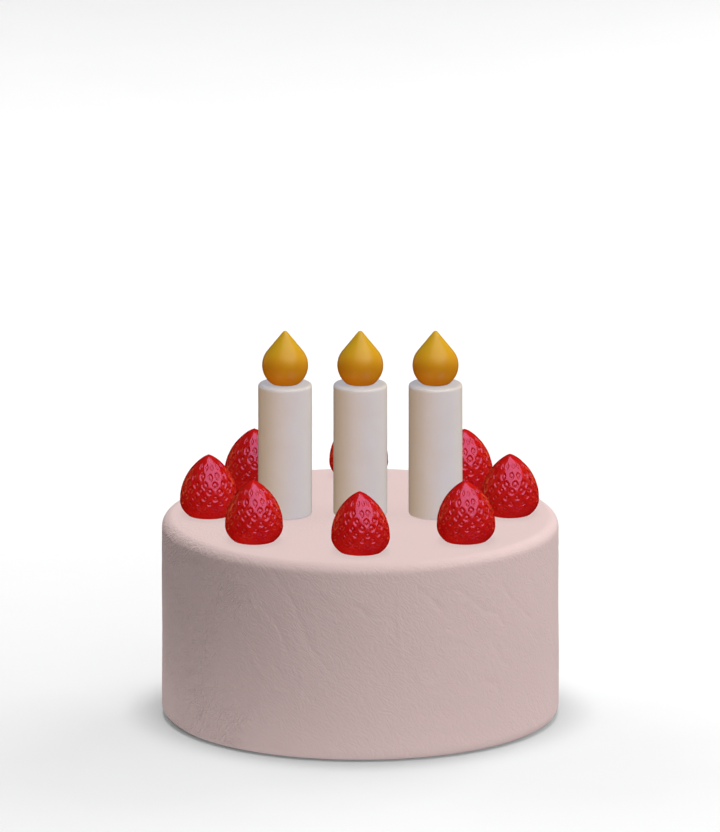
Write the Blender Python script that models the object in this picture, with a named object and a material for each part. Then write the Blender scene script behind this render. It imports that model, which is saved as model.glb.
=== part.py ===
"""A round celebration cake in pink icing, whole and uncut.

Eight whole strawberries stand in a ring on its flat top, points up, with no leaves.
Three thick candles stand in a row inside the ring, each with a solid drop for a flame.

Metres, +Z up. The origin is the middle of the flat base, and the front is towards -Y.
"""

import math

import bmesh
import bpy
from mathutils import Vector

# The gap that two touching pieces keep.
GAP = 0.0003

# The iced cake.
CAKE_RADIUS = 0.100
CAKE_HEIGHT = 0.1025
CAKE_EDGE = 0.0055
CAKE_SWELL = 0.0003
CAKE_SIDES = 80
CAKE_EDGE_STEPS = 4
CAKE_SIDE_STEPS = 5

# What stands on the cake is centred a little behind the cake's own middle.
RING_SET_BACK = 0.0043
CANDLE_SET_BACK = 0.0025

# The candles.
CANDLE_RADIUS = 0.0136
CANDLE_HEIGHT = 0.068
CANDLE_EDGE = 0.0015
CANDLE_SPACING = 0.0379
CANDLE_SIDES = 32
CANDLE_EDGE_STEPS = 2

# The flames: a ball, a straight cone that leaves it smoothly, and a small round tip.
FLAME_RADIUS = 0.01165
FLAME_HEIGHT = 0.027
FLAME_MIDDLE = 0.0092
FLAME_TIP = 0.0016
FLAME_SIDES = 24
FLAME_BALL_STEPS = 9
FLAME_TIP_STEPS = 2

# The strawberries.
RING_RADIUS = 0.0759
BERRY_RADIUS = 0.01475
BERRY_HEIGHT = 0.031
BERRY_WIDEST = 0.0075
BERRY_LOWER_DEPTH = 0.0108
BERRY_SHOULDER = 2.1
BERRY_TAPER = 0.78
BERRY_POINT_STEPS = (0.5, 0.85)
BERRY_LEAN = 0.0005
BERRY_LOBE = 0.010

# The seeds' dimples, in staggered rows that spread out towards the point.
SEEDS_ROUND = 16
SEED_ROWS = 8
SEED_LOWEST = 0.00336
SEED_ROW_STEP = 0.00253
SEED_ROW_GROWTH = 0.00011
SEED_DEPTH = 0.00045
SEED_TURN = math.radians(2.5)

# The ring of strawberries, counter-clockwise from the front: how far each stands to the
# right of its even place, and how far behind it.
BERRIES = (
    ("strawberry_front", 0.0002, 0.0),
    ("strawberry_front_right", -0.0004, 0.0),
    ("strawberry_right", -0.0004, 0.0),
    ("strawberry_back_right", -0.0014, -0.0036),
    ("strawberry_back", -0.0009, 0.0),
    ("strawberry_back_left", -0.0001, -0.0036),
    ("strawberry_left", -0.0004, -0.0022),
    ("strawberry_front_left", 0.0001, 0.0),
)

CANDLES = ("left", "middle", "right")


def clear_scene():
    """Removes whatever the file opened with."""
    for thing in list(bpy.data.objects):
        bpy.data.objects.remove(thing)


def finish(name, colour, roughness, subsurface=0.0):
    """A plain material with the piece's colour, roughness and soft inner light."""
    material = bpy.data.materials.new(name)
    material.use_nodes = True
    shader = material.node_tree.nodes["Principled BSDF"]
    shader.inputs["Base Color"].default_value = (*colour, 1.0)
    shader.inputs["Roughness"].default_value = roughness
    shader.inputs["Metallic"].default_value = 0.0
    shader.inputs["Subsurface Weight"].default_value = subsurface
    return material


def arc(radius, middle, start, end, steps):
    """Points of an arc in the XZ plane, its angles from +X towards +Z."""
    points = []
    for step in range(steps + 1):
        angle = math.radians(start + (end - start) * step / steps)
        points.append((middle[0] + radius * math.cos(angle), middle[1] + radius * math.sin(angle)))
    return points


def turned(outline, sides):
    """A bmesh of an outline of (radius, height) points, top to bottom, spun about Z.

    An outline that starts or ends off the axis is closed there by one flat face.
    """
    bm = bmesh.new()
    points = [bm.verts.new((radius, 0.0, height)) for radius, height in outline]
    lines = [bm.edges.new(pair) for pair in zip(points, points[1:])]
    bmesh.ops.spin(
        bm,
        geom=points + lines,
        cent=(0.0, 0.0, 0.0),
        axis=(0.0, 0.0, 1.0),
        angle=2.0 * math.pi,
        steps=sides,
        use_merge=True,
    )
    bmesh.ops.remove_doubles(bm, verts=bm.verts, dist=1e-6)
    rims = [edge for edge in bm.edges if edge.is_boundary]
    bmesh.ops.holes_fill(bm, edges=rims, sides=0)
    bmesh.ops.recalc_face_normals(bm, faces=bm.faces)
    return bm


def mesh_of(name, bm, material):
    """Turns the bmesh into a mesh, smooth but for its flat ends, with its material."""
    mesh = bpy.data.meshes.new(name)
    bm.to_mesh(mesh)
    bm.free()
    mesh.shade_smooth()
    mesh.set_sharp_from_angle(angle=math.radians(50.0))
    mesh.materials.append(material)
    return mesh


def place(name, mesh, location=(0.0, 0.0, 0.0), turn=0.0, parent=None):
    """Stands a new object that shows this mesh, turned about its own upright axis."""
    thing = bpy.data.objects.new(name, mesh)
    bpy.context.scene.collection.objects.link(thing)
    thing.parent = parent
    thing.location = location
    thing.rotation_euler = (0.0, 0.0, turn)
    return thing


def icing_swell(angle, height):
    """How far the spread icing stands out of a true cylinder, nothing at its two edges."""
    share = height / CAKE_HEIGHT
    fade = math.sin(math.pi * min(max(share, 0.0), 1.0)) ** 2
    wander = (
        math.sin(3.0 * angle + 4.0 * share + 0.6)
        + 0.7 * math.sin(5.0 * angle - 6.0 * share + 2.1)
        + 0.5 * math.sin(8.0 * angle + 9.0 * share)
    )
    return CAKE_SWELL * fade * wander / 2.2


def make_cake(icing):
    """The iced cake: a drum with soft edges, and a hand-spread side that is not quite true."""
    inner = CAKE_RADIUS - CAKE_EDGE
    top = arc(CAKE_EDGE, (inner, CAKE_HEIGHT - CAKE_EDGE), 90.0, 0.0, CAKE_EDGE_STEPS)
    foot = arc(CAKE_EDGE, (inner, CAKE_EDGE), 0.0, -90.0, CAKE_EDGE_STEPS)
    drop = CAKE_HEIGHT - 2.0 * CAKE_EDGE
    side = []
    for step in range(1, CAKE_SIDE_STEPS):
        side.append((CAKE_RADIUS, CAKE_HEIGHT - CAKE_EDGE - drop * step / CAKE_SIDE_STEPS))
    bm = turned(top + side + foot, CAKE_SIDES)
    for vert in bm.verts:
        out = Vector((vert.co.x, vert.co.y, 0.0)).normalized()
        angle = math.atan2(vert.co.y, vert.co.x)
        vert.co += out * icing_swell(angle, vert.co.z)
    place("cake", mesh_of("cake", bm, icing))


def make_candles(wax, glaze):
    """Three candles in a row, each carrying its flame."""
    candle_mesh = mesh_of("candle", turned(candle_outline(), CANDLE_SIDES), wax)
    flame_mesh = mesh_of("flame", turned(flame_outline(), FLAME_SIDES), glaze)
    for index, side in enumerate(CANDLES):
        along = (index - 1) * CANDLE_SPACING
        candle = place("candle_" + side, candle_mesh, (along, CANDLE_SET_BACK, CAKE_HEIGHT + GAP))
        place("flame_" + side, flame_mesh, (0.0, 0.0, CANDLE_HEIGHT + GAP), parent=candle)


def candle_outline():
    """The candle's outline: a straight side between two small round edges."""
    inner = CANDLE_RADIUS - CANDLE_EDGE
    top = arc(CANDLE_EDGE, (inner, CANDLE_HEIGHT - CANDLE_EDGE), 90.0, 0.0, CANDLE_EDGE_STEPS)
    foot = arc(CANDLE_EDGE, (inner, CANDLE_EDGE), 0.0, -90.0, CANDLE_EDGE_STEPS)
    return top + foot


def flame_outline():
    """The drop's outline: tip, cone, ball, then the seat where the ball is cut off flat."""
    ball = (0.0, FLAME_MIDDLE)
    tip = (0.0, FLAME_HEIGHT - FLAME_TIP)
    lean = math.degrees(math.asin((FLAME_RADIUS - FLAME_TIP) / (tip[1] - ball[1])))
    seat = math.degrees(math.asin(-FLAME_MIDDLE / FLAME_RADIUS))
    over = arc(FLAME_TIP, tip, 90.0, lean, FLAME_TIP_STEPS)
    under = arc(FLAME_RADIUS, ball, lean, seat, FLAME_BALL_STEPS)
    return over + under


def berry_radius(height):
    """The strawberry's radius at a height above its seat, seeds left aside."""
    if height < BERRY_WIDEST:
        share = (BERRY_WIDEST - height) / BERRY_LOWER_DEPTH
        return BERRY_RADIUS * math.sqrt(1.0 - share * share)
    share = (height - BERRY_WIDEST) / (BERRY_HEIGHT - BERRY_WIDEST)
    return BERRY_RADIUS * (1.0 - share**BERRY_SHOULDER) ** BERRY_TAPER


def seed_row_height(row):
    """The height of a row of seeds, counted from the lowest."""
    return SEED_LOWEST + SEED_ROW_STEP * row + SEED_ROW_GROWTH * row * row


def seed_depth(row):
    """How deep a row's dimples are: faint near the seat, softer again near the point."""
    rise = min(1.0, (row + 0.5) / 3.0)
    fall = min(1.0, (SEED_ROWS - row + 0.5) / 2.0)
    return SEED_DEPTH * rise * fall


def make_strawberries(flesh):
    """One turned strawberry with sunk seeds, shown eight times round the ring."""
    columns = 2 * SEEDS_ROUND
    rows = [seed_row_height(row) for row in range(SEED_ROWS)]
    heights = [0.0, 0.5 * rows[0], *rows]
    for share in BERRY_POINT_STEPS:
        heights.append(rows[-1] + share * (BERRY_HEIGHT - rows[-1]))
    outline = [(0.0, BERRY_HEIGHT)]
    for height in reversed(heights):
        outline.append((berry_radius(height), height))
    bm = turned(outline, columns)
    sink_seeds(bm, rows, columns)
    for vert in bm.verts:
        unevenness(vert.co)
    mesh = mesh_of("strawberry", bm, flesh)
    for index, (name, right, behind) in enumerate(BERRIES):
        turn = index * 2.0 * math.pi / len(BERRIES)
        across = RING_RADIUS * math.sin(turn) + right
        back = RING_SET_BACK - RING_RADIUS * math.cos(turn) + behind
        place(name, mesh, (across, back, CAKE_HEIGHT + GAP), turn + SEED_TURN)


def sink_seeds(bm, rows, columns):
    """Pushes every second point of each seed row inwards, staggered from row to row."""
    for vert in bm.verts:
        row = min(range(len(rows)), key=lambda index: abs(rows[index] - vert.co.z))
        if abs(rows[row] - vert.co.z) > 1e-5:
            continue
        column = round(math.atan2(vert.co.y, vert.co.x) / (2.0 * math.pi) * columns)
        if (column + row) % 2 == 0:
            vert.co -= vert.normal * seed_depth(row)


def unevenness(point):
    """Gives a turned strawberry two faint lobes and a point that stands off its middle."""
    angle = math.atan2(point.y, point.x)
    swell = 1.0 + BERRY_LOBE * math.cos(2.0 * angle + 0.7) - 0.4 * BERRY_LOBE * math.cos(3.0 * angle)
    point.x *= swell
    point.y *= swell
    point.x -= BERRY_LEAN * (point.z / BERRY_HEIGHT) ** 2


def main():
    clear_scene()
    make_cake(finish("pink_icing", (0.73, 0.558, 0.539), 0.62, 0.1))
    make_candles(
        finish("white_wax", (0.83, 0.72, 0.70), 0.45, 0.1),
        finish("golden_flame", (0.78, 0.37, 0.018), 0.35),
    )
    make_strawberries(finish("strawberry_red", (0.60, 0.010, 0.009), 0.28, 0.1))


main()
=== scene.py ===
# %% [markdown]
# # A pink celebration cake
#
# The finished cake model gives one plain solid for the iced cake, for each of its eight
# strawberries and for each of its three candles and their drops of flame. This lesson gives
# every solid a closer shape and a real finish: hand-spread icing, glossy fruit with sunk
# seeds, satin wax and golden glaze. Everything is in metres, with +Z up and the front
# towards -Y, and every new piece stays where its solid is.

import math
import random

import bmesh
import bpy
from mathutils import Matrix, Quaternion, Vector, kdtree, noise


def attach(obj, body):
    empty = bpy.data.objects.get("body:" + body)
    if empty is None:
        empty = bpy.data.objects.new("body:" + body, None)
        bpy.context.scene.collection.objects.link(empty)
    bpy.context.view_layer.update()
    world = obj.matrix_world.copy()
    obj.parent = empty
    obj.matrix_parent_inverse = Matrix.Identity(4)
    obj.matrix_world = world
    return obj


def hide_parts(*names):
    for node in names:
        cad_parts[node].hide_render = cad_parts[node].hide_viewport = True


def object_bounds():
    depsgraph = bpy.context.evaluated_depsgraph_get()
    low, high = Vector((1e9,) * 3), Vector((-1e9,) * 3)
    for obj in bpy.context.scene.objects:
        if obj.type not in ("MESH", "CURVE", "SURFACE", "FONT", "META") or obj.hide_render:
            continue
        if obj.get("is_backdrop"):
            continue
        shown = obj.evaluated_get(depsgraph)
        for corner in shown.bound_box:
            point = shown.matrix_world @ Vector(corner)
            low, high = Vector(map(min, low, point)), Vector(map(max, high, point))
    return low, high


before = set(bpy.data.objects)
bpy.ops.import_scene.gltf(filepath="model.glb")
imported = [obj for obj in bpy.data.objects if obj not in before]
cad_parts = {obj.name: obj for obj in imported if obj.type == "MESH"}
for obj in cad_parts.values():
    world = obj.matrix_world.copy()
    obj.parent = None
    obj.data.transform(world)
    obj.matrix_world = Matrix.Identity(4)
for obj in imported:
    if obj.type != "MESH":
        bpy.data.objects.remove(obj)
CAD_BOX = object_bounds()
print("solids:", ", ".join(sorted(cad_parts)))

# %% [markdown]
# ## The camera and the floor
#
# The view looks down by a little under fifteen degrees. The sides of the candles run truly
# parallel in it, so the camera is orthographic: its scale is the length of the picture's
# long side in metres. The floor is a wide disc of pale paper, wide enough to fill the view.

# %% Camera and floor
VIEW_DOWN = math.radians(14.5)
VIEW_LONG_SIDE = 0.41935
VIEW_MIDDLE = Vector((-0.00015, 0.0, 0.1544))
VIEW_DISTANCE = 2.0
VIEW_REACH = 20.0
FLOOR_RADIUS = 4.0
FLOOR_SIDES = 96


def stand_camera():
    """An orthographic camera at the picture's angle."""
    lens = bpy.data.cameras.new("camera")
    lens.type = "ORTHO"
    lens.ortho_scale = VIEW_LONG_SIDE
    lens.clip_end = VIEW_REACH
    camera = bpy.data.objects.new("camera", lens)
    back = Vector((0.0, -math.cos(VIEW_DOWN), math.sin(VIEW_DOWN)))
    camera.location = VIEW_MIDDLE + VIEW_DISTANCE * back
    camera.rotation_euler = (math.pi / 2.0 - VIEW_DOWN, 0.0, 0.0)
    bpy.context.scene.collection.objects.link(camera)
    bpy.context.scene.camera = camera


def lay_floor():
    """A wide disc of pale paper that the cake stands on.

    It throws no light back and isn't mirrored: the glow below stands for what it would throw.
    """
    disc = bmesh.new()
    bmesh.ops.create_circle(disc, cap_ends=True, segments=FLOOR_SIDES, radius=FLOOR_RADIUS)
    mesh = bpy.data.meshes.new("floor")
    disc.to_mesh(mesh)
    disc.free()
    floor = bpy.data.objects.new("floor", mesh)
    bpy.context.scene.collection.objects.link(floor)
    floor.visible_diffuse = False
    floor.visible_glossy = False
    floor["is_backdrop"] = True
    return floor


stand_camera()
floor = lay_floor()
bpy.context.scene.view_settings.view_transform = "Standard"
print("camera looks down", round(math.degrees(VIEW_DOWN), 1), "degrees")

# %% [markdown]
# ## The light
#
# Icing scatters light evenly, while wax, glaze and fruit pick up the colour and the place of
# each lamp. So the icing and the toppings get soft lights of their own, by light linking: a
# light's receiver collection holds the pieces that it lights, and its blocker collection the
# pieces that shade it. Only the iced cake blocks the icing's lights, so no long faint shadows
# of candles cross its top: the shaded light alone draws short soft shadows under everything.
#
# The icing is lightest on its right. The glow is a disc just under the floor that stands for
# the light thrown up by the table, and makes the side paler towards its foot. The toppings
# have one warm key light, which casts shadows, and faint warm and cool fill lights, which
# don't: they stand for the light that comes back from all round.

# %% Lights
LIGHTS_FACE = Vector((0.0, 0.0, 0.1))
WHITE = (1.0, 1.0, 1.0)

# Each light: degrees to the right of the front, degrees up, distance, size, watts, colour.
ICING_LIGHTS = {
    "overhead": (0.0, 90.0, 5.0, 2.0, 110.0, WHITE),
    "right": (90.0, 8.0, 1.6, 1.0, 6.9, WHITE),
    "right_front": (55.0, 8.0, 1.6, 1.0, 5.6, WHITE),
    "right_back": (135.0, 22.0, 1.6, 1.2, 13.0, WHITE),
    "left": (-115.0, 8.0, 1.6, 1.0, 2.5, WHITE),
    "left_back": (-135.0, 22.0, 1.6, 1.2, 7.3, WHITE),
    "front": (10.0, 5.0, 1.6, 1.0, 13.0, WHITE),
}
SHADED = (0.0, 90.0, 5.0, 2.0, 37.0, WHITE)
GLOW = (-90.0, -80.0, 0.112, 0.33, 0.118, WHITE)
TOPPING_KEY = (50.0, 45.0, 1.6, 1.0, 11.3, (1.0, 0.87, 0.59))
FILL_LIGHTS = {
    "fill_top": (0.0, 90.0, 2.5, 1.0, 52.0, (0.67, 0.77, 1.0)),
    "fill_right_back": (110.0, 5.0, 1.6, 1.0, 11.3, (1.0, 0.80, 0.44)),
    "fill_low_right": (40.0, -40.0, 1.6, 1.0, 13.1, (0.38, 0.54, 1.0)),
    "fill_low_left": (-40.0, -40.0, 1.6, 1.0, 15.5, (1.0, 0.69, 0.37)),
}
ROOM_LIGHT = 0.112

iced = bpy.data.collections.new("iced")
floor_and_icing = bpy.data.collections.new("floor_and_icing")
toppings = bpy.data.collections.new("toppings")
floor_and_icing.objects.link(floor)


def hang_light(name, right, up, distance, size, watts, colour, turn=0.0):
    """A square soft light that faces the middle of the cake."""
    lamp = bpy.data.lights.new(name, "AREA")
    lamp.size = size
    lamp.energy = watts
    lamp.color = colour
    round_by, lift = math.radians(right), math.radians(up)
    flat = math.cos(lift)
    way = Vector((math.sin(round_by) * flat, -math.cos(round_by) * flat, math.sin(lift)))
    light = bpy.data.objects.new(name, lamp)
    light.location = LIGHTS_FACE + distance * way
    light.rotation_mode = "QUATERNION"
    light.rotation_quaternion = way.to_track_quat("Z", "Y") @ Quaternion((0.0, 0.0, 1.0), turn)
    light.visible_camera = False
    bpy.context.scene.collection.objects.link(light)
    return light


def light_up(light, lit, shaded_by=None):
    """Keeps a light to the pieces that it lights, and out of their mirrored room."""
    light.visible_glossy = False
    light.light_linking.receiver_collection = lit
    light.light_linking.blocker_collection = shaded_by


def light_room(strength):
    """The dim even light of the room itself, which glossy surfaces don't mirror."""
    world = bpy.data.worlds.new("room")
    world.use_nodes = True
    air = world.node_tree.nodes["Background"]
    air.inputs["Color"].default_value = (1.0, 1.0, 1.0, 1.0)
    air.inputs["Strength"].default_value = strength
    bpy.context.scene.world = world
    world.cycles_visibility.glossy = False


for name, row in ICING_LIGHTS.items():
    light_up(hang_light(name, *row), floor_and_icing, floor_and_icing)
light_up(hang_light("shaded", *SHADED), floor_and_icing)
glow = hang_light("glow", *GLOW)
glow.data.shape = "DISK"
light_up(glow, iced, iced)
light_up(hang_light("topping_key", *TOPPING_KEY), toppings, toppings)
for name, row in FILL_LIGHTS.items():
    fill = hang_light(name, *row)
    fill.data.use_shadow = False
    light_up(fill, toppings)
light_room(ROOM_LIGHT)
print("soft lights:", ", ".join(light.name for light in bpy.data.lights))

# %% [markdown]
# ### The gleam
#
# Glossy fruit shows the shape of what it mirrors. A very large lamp up and to the right,
# turned so that a corner hangs down, is seen only in glossy surfaces, and gives every
# strawberry the same broad pointed gleam. Two small warm lamps behind glint at their rims.

# %% Gleam and glints
GLEAM = (32.0, 60.0, 1.5, 2.1, 31.0, WHITE)
GLINTS = {
    "glint_right": (139.0, 8.0, 1.5, 0.5, 1.0, (1.0, 0.45, 0.12)),
    "glint_left": (-125.0, 8.0, 1.5, 0.7, 2.0, (1.0, 0.45, 0.12)),
}
mirrored = [hang_light("gleam", *GLEAM, turn=math.radians(45.0))]
mirrored += [hang_light(name, *row) for name, row in GLINTS.items()]
for light in mirrored:
    light.visible_diffuse = False
    light.light_linking.receiver_collection = toppings
print("seen only in glossy surfaces:", ", ".join(light.name for light in mirrored))

# %% [markdown]
# ## Shaping tools
#
# Every solid here is round, so every piece starts as an outline of (radius, height) points
# that is spun round the upright axis. Where copies of the outline meet they are merged, and
# the open base is filled. Then the normals are recalculated, because a spin can turn a shape
# inside out.

# %% Spinning an outline, and placing a finished piece
SHARP_FROM = math.radians(62.0)


def arc(radius, middle, start, end, steps):
    """Points of an arc in the XZ plane, from one angle in degrees to another."""
    points = []
    for step in range(steps + 1):
        angle = math.radians(start + (end - start) * step / steps)
        points.append((middle[0] + radius * math.cos(angle), middle[1] + radius * math.sin(angle)))
    return points


def between(first, last, steps):
    """Evenly spaced points between two outline points, both of them left out."""
    points = []
    for step in range(1, steps):
        share = step / steps
        points.append(tuple(a + (b - a) * share for a, b in zip(first, last)))
    return points


def turned(outline, sides):
    """An outline of (radius, height) points, top to bottom, turned once round the Z axis.

    An eighth is spun, then doubled three times, which is much quicker than one fine spin.
    """
    shape = bmesh.new()
    points = [shape.verts.new((radius, 0.0, height)) for radius, height in outline]
    lines = [shape.edges.new(pair) for pair in zip(points, points[1:])]
    middle, up, angle = (0.0, 0.0, 0.0), (0.0, 0.0, 1.0), math.tau / 8.0
    bmesh.ops.spin(shape, geom=points + lines, cent=middle, axis=up, angle=angle, steps=sides // 8)
    for _ in range(3):
        everything = shape.verts[:] + shape.edges[:] + shape.faces[:]
        made = bmesh.ops.duplicate(shape, geom=everything)["geom"]
        verts = [part for part in made if isinstance(part, bmesh.types.BMVert)]
        bmesh.ops.rotate(shape, verts=verts, cent=middle, matrix=Matrix.Rotation(angle, 3, "Z"))
        angle *= 2.0
    bmesh.ops.remove_doubles(shape, verts=shape.verts, dist=1e-6)
    rims = [edge for edge in shape.edges if edge.is_boundary]
    bmesh.ops.holes_fill(shape, edges=rims, sides=0)
    bmesh.ops.recalc_face_normals(shape, faces=shape.faces)
    return shape


def show(name, mesh, node, slot, finish):
    """Shows a mesh as a piece that stands for its solid and moves with the cake.

    Pieces are kept out of each other's bounced and mirrored light, so that the fruit throws no
    red on the icing and the wax.
    """
    mesh.shade_smooth()
    mesh.set_sharp_from_angle(angle=SHARP_FROM)
    mesh.materials.append(finish)
    piece = bpy.data.objects.new(name, mesh)
    bpy.context.scene.collection.objects.link(piece)
    for group in (iced, floor_and_icing) if slot == "pink_icing" else (toppings,):
        group.objects.link(piece)
    piece.visible_diffuse = False
    piece.visible_glossy = False
    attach(piece, "root")
    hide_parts(node)
    low, high = (Vector(corner) for corner in (piece.bound_box[0], piece.bound_box[6]))
    size = " x ".join(f"{1000 * side:.1f}" for side in high - low)
    print(f"{name}: {size} mm, {len(mesh.polygons)} faces")
    return piece


# %% [markdown]
# ## Mixing a finish
#
# A finish is a Principled shader with a few nodes in front of it. These helpers add a node
# and set its inputs in one line: a number or a colour is set, and a socket is linked.

# %% Helpers for finishes
def feed(socket, value):
    """Sets a node's input to a value, or links another node's output to it."""
    if isinstance(value, bpy.types.NodeSocket):
        socket.id_data.links.new(value, socket)
    else:
        socket.default_value = value


def add(tree, kind, inputs, **settings):
    """Adds a node of a kind, with its inputs and settings, and returns it."""
    node = tree.nodes.new("ShaderNode" + kind)
    for name, value in settings.items():
        setattr(node, name, value)
    for name, value in inputs.items():
        feed(node.inputs[name], value)
    return node


def sum_of(tree, operation, *values):
    """The result of one step of arithmetic."""
    node = add(tree, "Math", {}, operation=operation)
    for socket, value in zip(node.inputs, values):
        feed(socket, value)
    return node.outputs["Value"]


def ranged(tree, value, low, high, new_low, new_high):
    """The value carried from one range to another, and held inside it."""
    inputs = {"Value": value, "From Min": low, "From Max": high, "To Min": new_low, "To Max": new_high}
    return add(tree, "MapRange", inputs).outputs["Result"]


def blended(tree, share, first, second):
    """Two colours mixed by a share from 0 to 1."""
    node = add(tree, "Mix", {}, data_type="RGBA")
    feed(node.inputs[0], share)
    feed(node.inputs[6], first)
    feed(node.inputs[7], second)
    return node.outputs[2]


def speckle(tree, place, size, detail=2.0):
    """A noise whose lumps are about this size in metres."""
    inputs = {"Vector": place, "Scale": 1.0 / size, "Detail": detail}
    return add(tree, "TexNoise", inputs).outputs["Fac"]


def bumped(tree, shader, height, depth):
    """Gives the shader a bump of a height from 0 to 1, and so many metres deep."""
    inputs = {"Height": height, "Distance": depth, "Strength": 1.0}
    feed(shader.inputs["Normal"], add(tree, "Bump", inputs).outputs["Normal"])


def new_finish(name, roughness, specular, inner=0.0, inner_depth=0.002):
    """A named finish with its uniform numbers set, its tree and its shader.

    The inner share and depth say how much light spreads under the surface, and how far.
    """
    finish = bpy.data.materials.new(name)
    finish.use_nodes = True
    shader = finish.node_tree.nodes["Principled BSDF"]
    shader.inputs["Roughness"].default_value = roughness
    shader.inputs["Specular IOR Level"].default_value = specular
    shader.inputs["Subsurface Weight"].default_value = inner
    shader.inputs["Subsurface Scale"].default_value = inner_depth
    return finish, finish.node_tree, shader


# %% [markdown]
# ### The floor's paper
#
# Plain paper: pale, with a very faint mottle.

# %% Floor finish
PAPER_LIGHT = (0.93, 0.93, 0.93, 1.0)
PAPER_DARK = (0.91, 0.91, 0.91, 1.0)
PAPER_MOTTLE = 0.05


def paper_finish():
    """A matt pale paper."""
    finish, tree, shader = new_finish("paper", roughness=0.9, specular=0.1)
    place = add(tree, "TexCoord", {}).outputs["Object"]
    mottle = speckle(tree, place, PAPER_MOTTLE)
    feed(shader.inputs["Base Color"], blended(tree, mottle, PAPER_DARK, PAPER_LIGHT))
    return finish


floor.data.materials.append(paper_finish())
print("floor finish:", floor.data.materials[0].name)

# %% [markdown]
# ## The icing
#
# The cake is a drum of sponge under a thick coat of pink icing. Its top is smooth. Its side
# was smoothed by hand, so it swells a little in and out, and a palette knife has left faint
# slanting strokes, a centimetre or so long, with flattened backs, and a few creases.
#
# A stroke that slants round a drum follows a helix. Carrying each point back along its helix
# before the noise is read stretches the noise along the strokes, with no seam anywhere. On
# the left of the front the strokes lean the other way, so the noise is read twice, once for
# each lean, and blended.

# %% The cake's measures and the shape of its icing
CAKE_RADIUS = 0.100
CAKE_HEIGHT = 0.1025
CAKE_EDGE = 0.0055
CAKE_SWELL = 0.0003
GAP = 0.0003

# Each swell: its share, its waves round the cake, its turn towards the top, and its start.
SWELLS = ((1.0, 3.0, 4.0, 0.6), (0.7, 5.0, -6.0, 2.1), (0.5, 8.0, 9.0, 0.0))

CAKE_SIDES = 656
CAKE_EDGE_STEPS = 9
CAKE_SIDE_STEPS = 92
CAKE_TOP_STEPS = 15

STROKE_TURN = 8.0
STROKE_WIDTH = 0.0042
STROKE_LENGTH = 0.010
STROKE_DEPTH = 0.00009
STROKE_FLAT = 0.12
ICING_SINK = 0.00003
WANDER_SIZE = 0.045
WANDER = 0.006
WANDER_SEED = 5

# Where the strokes lean the other way: the patch's middle, and how ragged its border is.
LEFT_PATCH = math.radians(-68.0)
LEFT_PATCH_SHARPNESS = 4.0
LEFT_PATCH_RAGGED = 0.5
LEFT_PATCH_RAGS = 0.03


def icing_swell(angle, height):
    """How far the spread icing stands out of a true cylinder, nothing at its two edges."""
    share = height / CAKE_HEIGHT
    fade = math.sin(math.pi * min(max(share, 0.0), 1.0)) ** 2
    wave = 0.0
    for part, waves, turn, start in SWELLS:
        wave += part * math.sin(waves * angle + turn * share + start)
    return CAKE_SWELL * fade * wave / sum(swell[0] for swell in SWELLS)


def untwisted(point, turn):
    """The point carried back along a helix of so many radians a metre."""
    return Matrix.Rotation(turn * point.z, 3, "Z") @ point


def left_lean(point):
    """How far the strokes lean the other way here, from 0 to 1: one patch on the left."""
    from_patch = math.atan2(point.x, -point.y) - LEFT_PATCH
    patch = 1.0 - LEFT_PATCH_SHARPNESS * (1.0 - math.cos(from_patch))
    patch += LEFT_PATCH_RAGGED * noise.noise(point / LEFT_PATCH_RAGS)
    return min(max((patch - 0.15) / 0.7, 0.0), 1.0)


def stroke_height(point, turn):
    """The height of the strokes of one lean, their backs flattened, from about -0.6 to 0."""
    wandered = point + WANDER * noise.noise_vector(point / WANDER_SIZE)
    along = untwisted(wandered, turn)
    lump = noise.noise((along.x / STROKE_WIDTH, along.y / STROKE_WIDTH, along.z / STROKE_LENGTH))
    return min(lump, STROKE_FLAT) - STROKE_FLAT


# %% [markdown]
# The creases are short lines on the unrolled side. A k-d tree of the side's points finds
# the ones near each line quickly, and each is sunk by its distance from the line. A few are
# low ridges instead, with a depth below zero. The front has creases where the knife was
# lifted there, and the rest of the cake has the same kind of crease at places drawn from a
# fixed seed.

# %% Creases
# Each crease: its depth in mm, then its points as degrees from the front and mm of height.
FRONT_CREASES = (
    (0.18, ((-26, 96), (-21, 85), (-19, 78), (-15, 60), (-11, 51), (-9, 47))),
    (0.17, ((-29, 77), (-25, 70), (-23, 62), (-22, 56))),
    (-0.13, ((-34, 86), (-33, 79), (-32, 75))),
    (0.17, ((-42, 74), (-38, 77), (-34, 78))),
    (-0.13, ((-61, 45), (-57, 53), (-50, 57))),
    (-0.14, ((-36, 59), (-32, 47), (-28, 40))),
    (-0.10, ((-17, 44), (-18, 27))),
    (-0.13, ((-11, 89), (-7, 84))),
    (0.24, ((-2, 81), (0, 80), (3, 75))),
    (-0.13, ((-26, 36), (-22, 34))),
    (0.17, ((4, 75), (8, 75), (10, 71))),
    (-0.13, ((11, 84), (12, 50))),
    (0.20, ((17, 89), (21, 83), (24, 78))),
    (0.21, ((27, 87), (30, 86), (35, 79), (39, 73), (44, 70), (46, 65))),
    (0.16, ((46, 84), (49, 77), (54, 69), (59, 62))),
    (-0.13, ((26, 64), (29, 61), (32, 60))),
    (-0.13, ((17, 44), (19, 39), (23, 38))),
    (0.15, ((42, 55), (46, 44), (48, 42))),
    (0.17, ((39, 36), (43, 34), (45, 28))),
)
CREASE_WIDTH = 0.0012
CREASE_REACH = 0.0032
CREASE_STEP = 0.0005
OTHER_CREASES = 34
OTHER_DEPTHS = (0.13, 0.16, 0.20, -0.08)


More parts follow.
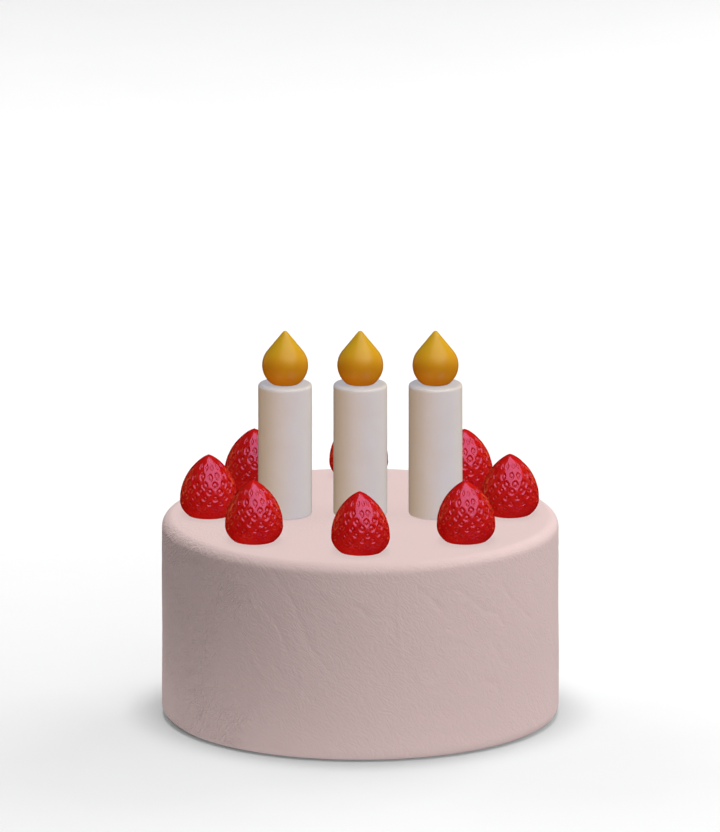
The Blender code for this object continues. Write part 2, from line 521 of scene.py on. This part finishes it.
def drawn_creases():
    """Creases for the sides and the back, from a fixed seed."""
    dice = random.Random(12)
    creases = []
    for _ in range(OTHER_CREASES):
        degrees, height = dice.uniform(66.0, 294.0), dice.uniform(22.0, 90.0)
        lean, bend = dice.uniform(0.3, 1.2), dice.uniform(-0.4, 0.4)
        points = []
        for step in range(4):
            points.append((degrees, height))
            degrees += lean * dice.uniform(2.0, 5.0)
            height -= dice.uniform(3.0, 6.0)
            lean += bend
        creases.append((dice.choice(OTHER_DEPTHS), tuple(points)))
    return creases


def unrolled(degrees, height):
    """A place on the side, unrolled flat, in metres."""
    return Vector((math.radians(degrees) * CAKE_RADIUS, height / 1000.0, 0.0))


def sink_creases(sides, creases):
    """How far each of these unrolled points is sunk by the creases, by its index."""
    tree = kdtree.KDTree(len(sides))
    for index, place in sides.items():
        tree.insert(place, index)
    tree.balance()
    sunk = {}
    for depth, points in creases:
        nearest = {}
        places = [unrolled(*point) for point in points]
        for start, end in zip(places, places[1:]):
            steps = max(2, int((end - start).length / CREASE_STEP))
            for step in range(steps + 1):
                spot = start.lerp(end, step / steps)
                for _, index, distance in tree.find_range(spot, CREASE_REACH):
                    nearest[index] = min(distance, nearest.get(index, CREASE_REACH))
        for index, distance in nearest.items():
            share = math.exp(-((distance / CREASE_WIDTH) ** 2))
            sunk[index] = sunk.get(index, 0.0) + depth * share / 1000.0
    return sunk


# %% [markdown]
# The drum's outline has close points down its side, so that the strokes can be real relief.
# All relief cuts in from the solid's own surface, so the cake stays inside it. The share of
# each lean is kept as an attribute, because the icing's finish follows the same strokes, and
# so is how far a point belongs to the side, because the top was smoothed flat.

# %% Spread the icing
def cake_outline():
    """The drum's outline, closely spaced, from the middle of its top to its base."""
    inner = CAKE_RADIUS - CAKE_EDGE
    over = arc(CAKE_EDGE, (inner, CAKE_HEIGHT - CAKE_EDGE), 90.0, 0.0, CAKE_EDGE_STEPS)
    under = arc(CAKE_EDGE, (inner, CAKE_EDGE), 0.0, -90.0, CAKE_EDGE_STEPS)
    top = [(0.0, CAKE_HEIGHT)] + between((0.0, CAKE_HEIGHT), over[0], CAKE_TOP_STEPS)
    side = between(over[-1], under[0], CAKE_SIDE_STEPS)
    return top + over + side + under


def spread_icing():
    """The iced cake with its swells, strokes and creases.

    The noise that shifts the strokes has a seed, so that every run spreads the same icing.
    """
    noise.seed_set(WANDER_SEED)
    shape = turned(cake_outline(), CAKE_SIDES)
    shape.verts.index_update()
    lean_layer = shape.verts.layers.float.new("lean")
    side_layer = shape.verts.layers.float.new("side")
    places = {}
    for vert in shape.verts:
        x, y, z = vert.co
        out = min(max((math.hypot(x, y) - CAKE_RADIUS + CAKE_EDGE) / CAKE_EDGE, 0.0), 1.0)
        places[vert.index] = (out, Vector((math.atan2(x, -y) * CAKE_RADIUS, z, 0.0)))
    sides = {index: place for index, (out, place) in places.items() if out > 0.9}
    sunk = sink_creases(sides, FRONT_CREASES + tuple(drawn_creases()))
    for vert in shape.verts:
        out = places[vert.index][0]
        point = vert.co.copy()
        lean = left_lean(point)
        vert[lean_layer] = lean
        vert[side_layer] = out
        if out == 0.0:
            continue
        away = Vector((point.x, point.y, 0.0)).normalized()
        strokes = (1.0 - lean) * stroke_height(point, STROKE_TURN)
        strokes += lean * stroke_height(point, -STROKE_TURN)
        relief = icing_swell(math.atan2(point.y, point.x), point.z)
        relief += out * (STROKE_DEPTH * strokes - ICING_SINK) - sunk.get(vert.index, 0.0)
        vert.co = point + away * relief
    mesh = bpy.data.meshes.new("iced_cake")
    shape.to_mesh(mesh)
    shape.free()
    return mesh


# %% [markdown]
# ### The icing's finish
#
# Up close the side is a fine matt grain of short strokes, about a millimetre wide, which
# follow the knife. They are too fine for the mesh, so they are a bump, read along the same
# two helices. The place is first shifted a little to and fro, so that the grain wanders and
# doesn't look combed. It is deepest on the left, and nearly gone on the smooth top. The pink
# itself hardly changes: it is faintly cloudy, and dry sugar gives it a thin pale sheen.

# %% Icing finish
ICING_PINK = (0.745, 0.569, 0.550, 1.0)
ICING_DEEP = (0.725, 0.553, 0.535, 1.0)
ICING_INNER = (1.0, 0.55, 0.45)
ICING_SHEEN = 0.12
ICING_SHEEN_SPREAD = 0.35
ICING_SHEEN_TINT = (1.0, 0.87, 0.85, 1.0)
CLOUD_SIZE = 0.02
GRAIN_WIDTH = 0.00125
GRAIN_STRETCH = 0.68
GRAIN_DEPTH = 0.00033
GRAIN_DEPTH_LEFT = 0.00135
GRAIN_SHARE_ON_TOP = 0.2
GRAIN_WANDER = 0.0042
GRAIN_WANDER_SIZE = 0.006


def wandering(tree, place):
    """The place shifted a little one way and another, so that the grain isn't combed."""
    inputs = {"Vector": place, "Scale": 1.0 / GRAIN_WANDER_SIZE, "Detail": 1.0}
    shift = add(tree, "TexNoise", inputs).outputs["Color"]
    inputs = {0: shift, 1: (GRAIN_WANDER,) * 3, 2: place}
    return add(tree, "VectorMath", inputs, operation="MULTIPLY_ADD").outputs["Vector"]


def grain_along(tree, place, turn):
    """Fine short strokes that follow a helix."""
    height = add(tree, "SeparateXYZ", {"Vector": place}).outputs["Z"]
    angle = sum_of(tree, "MULTIPLY", height, turn)
    carried = add(tree, "VectorRotate", {"Vector": place, "Angle": angle}, rotation_type="Z_AXIS")
    inputs = {"Vector": carried.outputs["Vector"], "Scale": (1.0, 1.0, GRAIN_STRETCH)}
    stretched = add(tree, "Mapping", inputs).outputs["Vector"]
    return speckle(tree, stretched, GRAIN_WIDTH)


def icing_finish():
    """Matt pink icing with a fine grain."""
    finish, tree, shader = new_finish("icing", 0.62, specular=0.12, inner=0.05, inner_depth=0.003)
    shader.inputs["Subsurface Radius"].default_value = ICING_INNER
    shader.inputs["Sheen Weight"].default_value = ICING_SHEEN
    shader.inputs["Sheen Roughness"].default_value = ICING_SHEEN_SPREAD
    shader.inputs["Sheen Tint"].default_value = ICING_SHEEN_TINT
    place = add(tree, "TexCoord", {}).outputs["Object"]
    lean = add(tree, "Attribute", {}, attribute_name="lean").outputs["Fac"]
    side = add(tree, "Attribute", {}, attribute_name="side").outputs["Fac"]
    wandered = wandering(tree, place)
    right = grain_along(tree, wandered, STROKE_TURN)
    left = grain_along(tree, wandered, -STROKE_TURN)
    strokes = add(tree, "Mix", {}, data_type="FLOAT")
    feed(strokes.inputs[0], lean)
    feed(strokes.inputs[2], right)
    feed(strokes.inputs[3], left)
    cloud = speckle(tree, place, CLOUD_SIZE, detail=3.0)
    feed(shader.inputs["Base Color"], blended(tree, cloud, ICING_DEEP, ICING_PINK))
    feed(shader.inputs["Roughness"], ranged(tree, strokes.outputs[0], 0.3, 0.7, 0.70, 0.56))
    depth = ranged(tree, lean, 0.0, 1.0, GRAIN_DEPTH, GRAIN_DEPTH_LEFT)
    depth = sum_of(tree, "MULTIPLY", depth, ranged(tree, side, 0.0, 1.0, GRAIN_SHARE_ON_TOP, 1.0))
    bumped(tree, shader, strokes.outputs[0], depth)
    return finish


show("iced_cake", spread_icing(), "cake", "pink_icing", icing_finish())

# %% [markdown]
# ## The candles
#
# Each candle is a thick straight stick of wax with a small round edge above and below. Its
# flame is a solid drop: a ball below, a straight cone that leaves it smoothly, and a small
# round tip. The ball is cut off flat where it stands on the candle.

# %% The candles' shapes
CANDLE_RADIUS = 0.0136
CANDLE_HEIGHT = 0.068
CANDLE_EDGE = 0.0015
CANDLE_SPACING = 0.0379
CANDLE_SET_BACK = 0.0025
CANDLE_SIDES = 96

FLAME_RADIUS = 0.01165
FLAME_HEIGHT = 0.027
FLAME_MIDDLE = 0.0092
FLAME_TIP = 0.0016
FLAME_SIDES = 80

CANDLES = ("left", "middle", "right")
PRESSED_IN = 0.00006


def candle_outline():
    """A straight stick between two small round edges, with points down its side."""
    inner = CANDLE_RADIUS - CANDLE_EDGE
    over = arc(CANDLE_EDGE, (inner, CANDLE_HEIGHT - CANDLE_EDGE), 90.0, 0.0, 6)
    under = arc(CANDLE_EDGE, (inner, CANDLE_EDGE), 0.0, -90.0, 6)
    top = [(0.0, CANDLE_HEIGHT)] + between((0.0, CANDLE_HEIGHT), over[0], 6)
    return top + over + between(over[-1], under[0], 40) + under


def flame_outline():
    """Tip, cone and ball, then the seat where the ball is cut off flat."""
    ball = (0.0, FLAME_MIDDLE)
    tip = (0.0, FLAME_HEIGHT - FLAME_TIP)
    lean = math.degrees(math.asin((FLAME_RADIUS - FLAME_TIP) / (tip[1] - ball[1])))
    seat = math.degrees(math.asin(-FLAME_MIDDLE / FLAME_RADIUS))
    over = arc(FLAME_TIP, tip, 90.0, lean, 6)
    under = arc(FLAME_RADIUS, ball, lean, seat, 36)
    return over + between(over[-1], under[0], 14) + under


def uneven(shape, size, depth):
    """Presses a turned shape in, here and there, as a hand does."""
    for vert in shape.verts:
        away = Vector((vert.co.x, vert.co.y, 0.0))
        if away.length > 0.0005:
            vert.co -= away.normalized() * depth * (0.5 + 0.5 * noise.noise(vert.co / size))


def stood(shape, place):
    """The shape as a mesh, moved so that its own origin is at a place."""
    bmesh.ops.translate(shape, vec=place, verts=shape.verts)
    mesh = bpy.data.meshes.new("stood")
    shape.to_mesh(mesh)
    shape.free()
    return mesh


# %% [markdown]
# ### Wax and glaze
#
# The wax is off-white and satin, cloudy inside, so a little light spreads under its surface.
# Its very top is painted darker and warmer round the golden drop that stands on it: painted shade,
# tinted with painted warm light from the drop. The flames are golden glaze: darker orange where they
# stand on the wax, partly the glaze's own colour and partly painted shade, and yellow towards the tip,
# with a soft gloss.

# %% Wax finish
WAX_PALE = (0.79, 0.755, 0.750, 1.0)
WAX_WARM = (0.78, 0.730, 0.715, 1.0)
# Painted warm shade for the wax's very top round the drop, and below it how deep that paint reaches.
WAX_TOP_PAINTED_SHADE = (0.68, 0.595, 0.525, 1.0)
WAX_INNER = (1.0, 0.85, 0.75)
WAX_CLOUD = 0.012
WAX_TOP_PAINTED_SHADE_DEPTH = 0.0010
WAX_SMEAR = 0.0012
WAX_SMEAR_STRETCH = 0.12
WAX_SMEAR_DEPTH = 0.00003


def wax_finish():
    """Satin off-white wax."""
    finish, tree, shader = new_finish("wax", 0.38, specular=0.5, inner=0.15, inner_depth=0.004)
    shader.inputs["Subsurface Radius"].default_value = WAX_INNER
    place = add(tree, "TexCoord", {}).outputs["Object"]
    cloud = ranged(tree, speckle(tree, place, WAX_CLOUD, detail=4.0), 0.35, 0.65, 0.0, 1.0)
    stick = blended(tree, cloud, WAX_WARM, WAX_PALE)
    height = add(tree, "SeparateXYZ", {"Vector": place}).outputs["Z"]
    # Painted shade: the last millimetre of wax under the drop is darker and warmer, standing in for
    # the drop's shade and its warm thrown light.
    top = CAKE_HEIGHT + GAP + CANDLE_HEIGHT
    seat = ranged(tree, height, top - WAX_TOP_PAINTED_SHADE_DEPTH, top - 0.1 * WAX_TOP_PAINTED_SHADE_DEPTH, 0.0, 1.0)
    feed(shader.inputs["Base Color"], blended(tree, seat, stick, WAX_TOP_PAINTED_SHADE))
    inputs = {"Vector": place, "Scale": (1.0, 1.0, WAX_SMEAR_STRETCH)}
    smear = add(tree, "Mapping", inputs).outputs["Vector"]
    drawn = speckle(tree, smear, WAX_SMEAR, detail=3.0)
    feed(shader.inputs["Roughness"], ranged(tree, drawn, 0.3, 0.7, 0.34, 0.44))
    bumped(tree, shader, drawn, WAX_SMEAR_DEPTH)
    return finish


# %% Glaze finish
GLAZE_YELLOW = (0.67, 0.370, 0.012, 1.0)
# Darker orange for the foot of the drop: partly the glaze's own colour, partly painted shade.
GLAZE_FOOT_ORANGE_AND_SHADE = (0.59, 0.172, 0.003, 1.0)
GLAZE_INNER = (1.0, 0.45, 0.1)
GLAZE_FOOT_SHADE_HEIGHT = 0.02
GLAZE_WOBBLE_SIZE = 0.006
GLAZE_WOBBLE = 0.0015
GLAZE_GRAIN = 0.0007
GLAZE_GRAIN_DEPTH = 0.00002


def glaze_finish():
    """Golden glaze, darker orange below, partly painted shade, and yellow above."""
    finish, tree, shader = new_finish("golden_glaze", 0.33, 0.35, inner=0.10, inner_depth=0.003)
    shader.inputs["Subsurface Radius"].default_value = GLAZE_INNER
    place = add(tree, "TexCoord", {}).outputs["Object"]
    height = add(tree, "SeparateXYZ", {"Vector": place}).outputs["Z"]
    foot = CAKE_HEIGHT + CANDLE_HEIGHT + 2.0 * GAP
    lumps = speckle(tree, place, GLAZE_WOBBLE_SIZE, detail=3.0)
    wobble = ranged(tree, lumps, 0.2, 0.8, -GLAZE_WOBBLE, GLAZE_WOBBLE)
    height = sum_of(tree, "ADD", height, wobble)
    # Painted shade in part: the glaze darkens to orange towards its foot, where the drop turns under.
    share = ranged(tree, height, foot, foot + GLAZE_FOOT_SHADE_HEIGHT, 0.0, 1.0)
    feed(shader.inputs["Base Color"], blended(tree, share, GLAZE_FOOT_ORANGE_AND_SHADE, GLAZE_YELLOW))
    fine = speckle(tree, place, GLAZE_GRAIN, detail=3.0)
    feed(shader.inputs["Roughness"], ranged(tree, fine, 0.3, 0.7, 0.29, 0.38))
    bumped(tree, shader, fine, GLAZE_GRAIN_DEPTH)
    return finish


# %% Stand the candles
def stand_candles(wax, glaze):
    """Three candles in a row, each with its flame."""
    foot = CAKE_HEIGHT + GAP
    for index, side in enumerate(CANDLES):
        place = Vector(((index - 1) * CANDLE_SPACING, CANDLE_SET_BACK, foot))
        candle = turned(candle_outline(), CANDLE_SIDES)
        uneven(candle, 0.02, PRESSED_IN)
        show("wax_candle_" + side, stood(candle, place), "candle_" + side, "white_wax", wax)
        place.z += CANDLE_HEIGHT + GAP
        flame = turned(flame_outline(), FLAME_SIDES)
        uneven(flame, 0.01, PRESSED_IN)
        show("glazed_flame_" + side, stood(flame, place), "flame_" + side, "golden_flame", glaze)


stand_candles(wax_finish(), glaze_finish())

# %% [markdown]
# ## The strawberries
#
# A strawberry stands on its flat crown end, point up, with its leaves gone. Sixteen seeds
# go round in each of eight rows, each row half a step on from the one below. Every seed
# sits in a dimple: round low down, longer and pointed like an almond towards the point.
#
# A ring of points is spun, as for every other piece, but finely: 256 points round and one
# about every third of a millimetre up, so that the dimples and the seeds are real relief.
# How deep a point lies and whether it is on a seed are kept as attributes for the finish.

# %% The strawberry's measures
RING_RADIUS = 0.0759
RING_SET_BACK = 0.0043
BERRY_RADIUS = 0.01475
BERRY_HEIGHT = 0.031
BERRY_WIDEST = 0.0075
BERRY_LOWER_DEPTH = 0.0108
BERRY_SHOULDER = 2.1
BERRY_TAPER = 0.78
BERRY_LEAN = 0.0005
BERRY_LOBE = 0.010
BERRY_SIDES = 256
BERRY_STEPS = 118
FINE_STEPS = 4000
SEEDS_ROUND = 16
SEED_TURN = math.radians(2.5)

# The rows of seeds, lowest first, in mm: height, half the dimple's width and height, its
# depth, and how pointed it is (2 is an ellipse, and less is an almond).
SEED_ROWS = (
    (3.36, 1.50, 1.25, 0.26, 2.0),
    (6.00, 1.70, 1.50, 0.40, 2.0),
    (8.75, 1.80, 1.65, 0.52, 2.0),
    (11.75, 1.85, 1.80, 0.58, 1.9),
    (14.85, 1.85, 2.10, 0.60, 1.8),
    (18.10, 1.80, 2.45, 0.56, 1.65),
    (21.80, 1.55, 2.60, 0.46, 1.55),
    (26.20, 1.05, 2.20, 0.30, 1.5),
)
DIMPLE_WALL = 0.58
SEED_SHARE = 0.44
SEED_RISE = 0.60
SEED_SHIFT = 0.35
SEED_SIZES = (0.90, 1.08)
SKIN_RIPPLE = 0.00005
SKIN_RIPPLE_SIZE = 0.004

# The ring, counter-clockwise from the front: how far each strawberry stands to the right of
# its even place, and how far behind it.
BERRIES = (
    ("strawberry_front", 0.0002, 0.0),
    ("strawberry_front_right", -0.0004, 0.0),
    ("strawberry_right", -0.0004, 0.0),
    ("strawberry_back_right", -0.0014, -0.0036),
    ("strawberry_back", -0.0009, 0.0),
    ("strawberry_back_left", -0.0001, -0.0036),
    ("strawberry_left", -0.0004, -0.0022),
    ("strawberry_front_left", 0.0001, 0.0),
)


def berry_radius(height):
    """The strawberry's radius at a height above its seat, seeds left aside."""
    if height < BERRY_WIDEST:
        share = (BERRY_WIDEST - height) / BERRY_LOWER_DEPTH
        return BERRY_RADIUS * math.sqrt(1.0 - share * share)
    share = (height - BERRY_WIDEST) / (BERRY_HEIGHT - BERRY_WIDEST)
    return BERRY_RADIUS * (1.0 - share**BERRY_SHOULDER) ** BERRY_TAPER


def berry_outline():
    """The strawberry's outline from its point to its seat, evenly spaced along its length."""
    heights = [BERRY_HEIGHT * step / FINE_STEPS for step in range(FINE_STEPS, -1, -1)]
    fine = [(berry_radius(height), height) for height in heights]
    lengths = [0.0]
    for one, two in zip(fine, fine[1:]):
        lengths.append(lengths[-1] + math.dist(one, two))
    outline, step = [fine[0]], 1
    for point, length in zip(fine, lengths):
        if length >= lengths[-1] * step / BERRY_STEPS:
            outline.append(point)
            step += 1
    outline[-1] = fine[-1]
    return outline


# %% [markdown]
# ### Sinking the seeds
#
# For each point the nearest seed of each row is found, and the distance from its middle is
# measured along the skin, as a share of the dimple's half width and half height. The dimple
# has a steep wall and a flat floor, and the seed is a small dome on that floor.

# %% Dimples and seeds
def ease(value, start, end):
    """A smooth step from 0 at the start to 1 at the end."""
    share = min(max((value - start) / (end - start), 0.0), 1.0)
    return share * share * (3.0 - 2.0 * share)


def seed_jitter(row, column):
    """A small shift in mm, and a share of its size, for one seed: the same on every run."""
    dice = random.Random(97 * row + column)
    along, up = dice.uniform(-SEED_SHIFT, SEED_SHIFT), dice.uniform(-SEED_SHIFT, SEED_SHIFT)
    return along, up, dice.uniform(*SEED_SIZES)


def skin_at(angle, height, radius, rise):
    """How deep the skin is sunk at a point, and how much of it is dimple and seed."""
    sunk, dimple, seed = 0.0, 0.0, 0.0
    step = math.tau / SEEDS_ROUND
    for row, (middle, half_width, half_height, depth, point) in enumerate(SEED_ROWS):
        up = (1000.0 * height - middle) * rise
        if abs(up) > half_height + 0.3:
            continue
        offset = 0.5 * step * (row % 2)
        column = round((angle - offset) / step)
        shift_along, shift_up, size = seed_jitter(row, column % SEEDS_ROUND)
        along = 1000.0 * radius * (angle - offset - column * step) + shift_along
        across, upwards = abs(along) / (half_width * size), abs(up + shift_up) / (half_height * size)
        reach = (across**point + upwards**point) ** (1.0 / point)
        if reach > 1.0:
            continue
        hollow = 1.0 - ease(reach, DIMPLE_WALL, 1.0)
        dome = max(0.0, 1.0 - (reach / SEED_SHARE) ** 2) ** 0.6
        sunk = depth * (hollow - SEED_RISE * dome)
        dimple, seed = hollow, min(1.0, 2.0 * dome)
    return sunk / 1000.0, dimple, seed


def unevenness(point):
    """Gives the turned strawberry two faint lobes and a point that stands off its middle."""
    angle = math.atan2(point.y, point.x)
    swell = 1.0 + BERRY_LOBE * math.cos(2.0 * angle + 0.7) - 0.4 * BERRY_LOBE * math.cos(3.0 * angle)
    point.x *= swell
    point.y *= swell
    point.x -= BERRY_LEAN * (point.z / BERRY_HEIGHT) ** 2


def grow_berry():
    """One strawberry with its seeds, standing at the origin."""
    shape = turned(berry_outline(), BERRY_SIDES)
    shape.normal_update()
    dimples = shape.verts.layers.float.new("dimple")
    seeds = shape.verts.layers.float.new("seed")
    for vert in shape.verts:
        point, normal = vert.co.copy(), vert.normal.copy()
        radius = math.hypot(point.x, point.y)
        if radius < 1e-6 or point.z < 1e-6:
            continue
        rise = 1.0 / max(0.3, math.hypot(normal.x, normal.y))
        sunk, vert[dimples], vert[seeds] = skin_at(math.atan2(point.y, point.x), point.z, radius, rise)
        ripple = SKIN_RIPPLE * (0.5 + 0.5 * noise.noise(point / SKIN_RIPPLE_SIZE))
        vert.co = point - normal * (sunk + ripple)
    for vert in shape.verts:
        unevenness(vert.co)
    return shape


# %% [markdown]
# ### The strawberry's finish
#
# Deep red and glossy. The red is a little brighter on the seeds, it is darker down in the dimples as
# painted shade, and it is softly mottled, as ripe fruit is. A little light spreads under the skin.
# A fine bump breaks up the gloss.

# %% Strawberry finish
BERRY_RED = (0.57, 0.0060, 0.0055, 1.0)
BERRY_BRIGHT = (0.63, 0.012, 0.008, 1.0)
# Painted shade for the dimples' hollows; below, how much of it is used.
BERRY_DIMPLE_SHADE = (0.42, 0.004, 0.004, 1.0)
SEED_RED = (0.62, 0.020, 0.014, 1.0)
BERRY_INNER = (1.0, 0.12, 0.08)
BERRY_GLOSS_TINT = (0.92, 0.50, 1.0, 1.0)
BERRY_PATCH = 0.006
BERRY_DIMPLE_SHADE_SHARE = 0.4
BERRY_GRAIN = 0.0006
BERRY_GRAIN_DEPTH = 0.00002


def berry_finish():
    """Glossy ripe strawberry."""
    finish, tree, shader = new_finish("strawberry", 0.22, specular=0.9, inner=0.12)
    shader.inputs["Subsurface Radius"].default_value = BERRY_INNER
    shader.inputs["Specular Tint"].default_value = BERRY_GLOSS_TINT
    place = add(tree, "TexCoord", {}).outputs["Object"]
    dimple = add(tree, "Attribute", {}, attribute_name="dimple").outputs["Fac"]
    seed = add(tree, "Attribute", {}, attribute_name="seed").outputs["Fac"]
    lumps = speckle(tree, place, BERRY_PATCH, detail=3.0)
    patches = ranged(tree, lumps, 0.35, 0.65, 0.0, 1.0)
    skin = blended(tree, patches, BERRY_RED, BERRY_BRIGHT)
    # Painted shade: the red is darkened down in the dimples.
    skin = blended(tree, sum_of(tree, "MULTIPLY", dimple, BERRY_DIMPLE_SHADE_SHARE), skin, BERRY_DIMPLE_SHADE)
    feed(shader.inputs["Base Color"], blended(tree, seed, skin, SEED_RED))
    fine = speckle(tree, place, BERRY_GRAIN, detail=3.0)
    feed(shader.inputs["Roughness"], ranged(tree, fine, 0.3, 0.7, 0.13, 0.21))
    bumped(tree, shader, fine, BERRY_GRAIN_DEPTH)
    return finish


# %% Set the ring
def set_ring(finish):
    """Eight strawberries round the cake's top."""
    berry = grow_berry()
    for index, (node, right, behind) in enumerate(BERRIES):
        turn = index * math.tau / len(BERRIES)
        across = RING_RADIUS * math.sin(turn) + right
        back = RING_SET_BACK - RING_RADIUS * math.cos(turn) + behind
        twin = berry.copy()
        spin = Matrix.Rotation(turn + SEED_TURN, 3, "Z")
        bmesh.ops.rotate(twin, verts=twin.verts, cent=(0.0, 0.0, 0.0), matrix=spin)
        mesh = stood(twin, Vector((across, back, CAKE_HEIGHT + GAP)))
        show("ripe_" + node, mesh, node, "strawberry_red", finish)
    berry.free()


set_ring(berry_finish())

# %% [markdown]
#
# Everything new has to lie inside the box of the plain solids. The two boxes are written down side by
# side.

# %% Measure
VISUAL_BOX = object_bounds()
for name, box in (("solids", CAD_BOX), ("pieces", VISUAL_BOX)):
    print(name, [round(1000 * v, 2) for corner in box for v in corner])
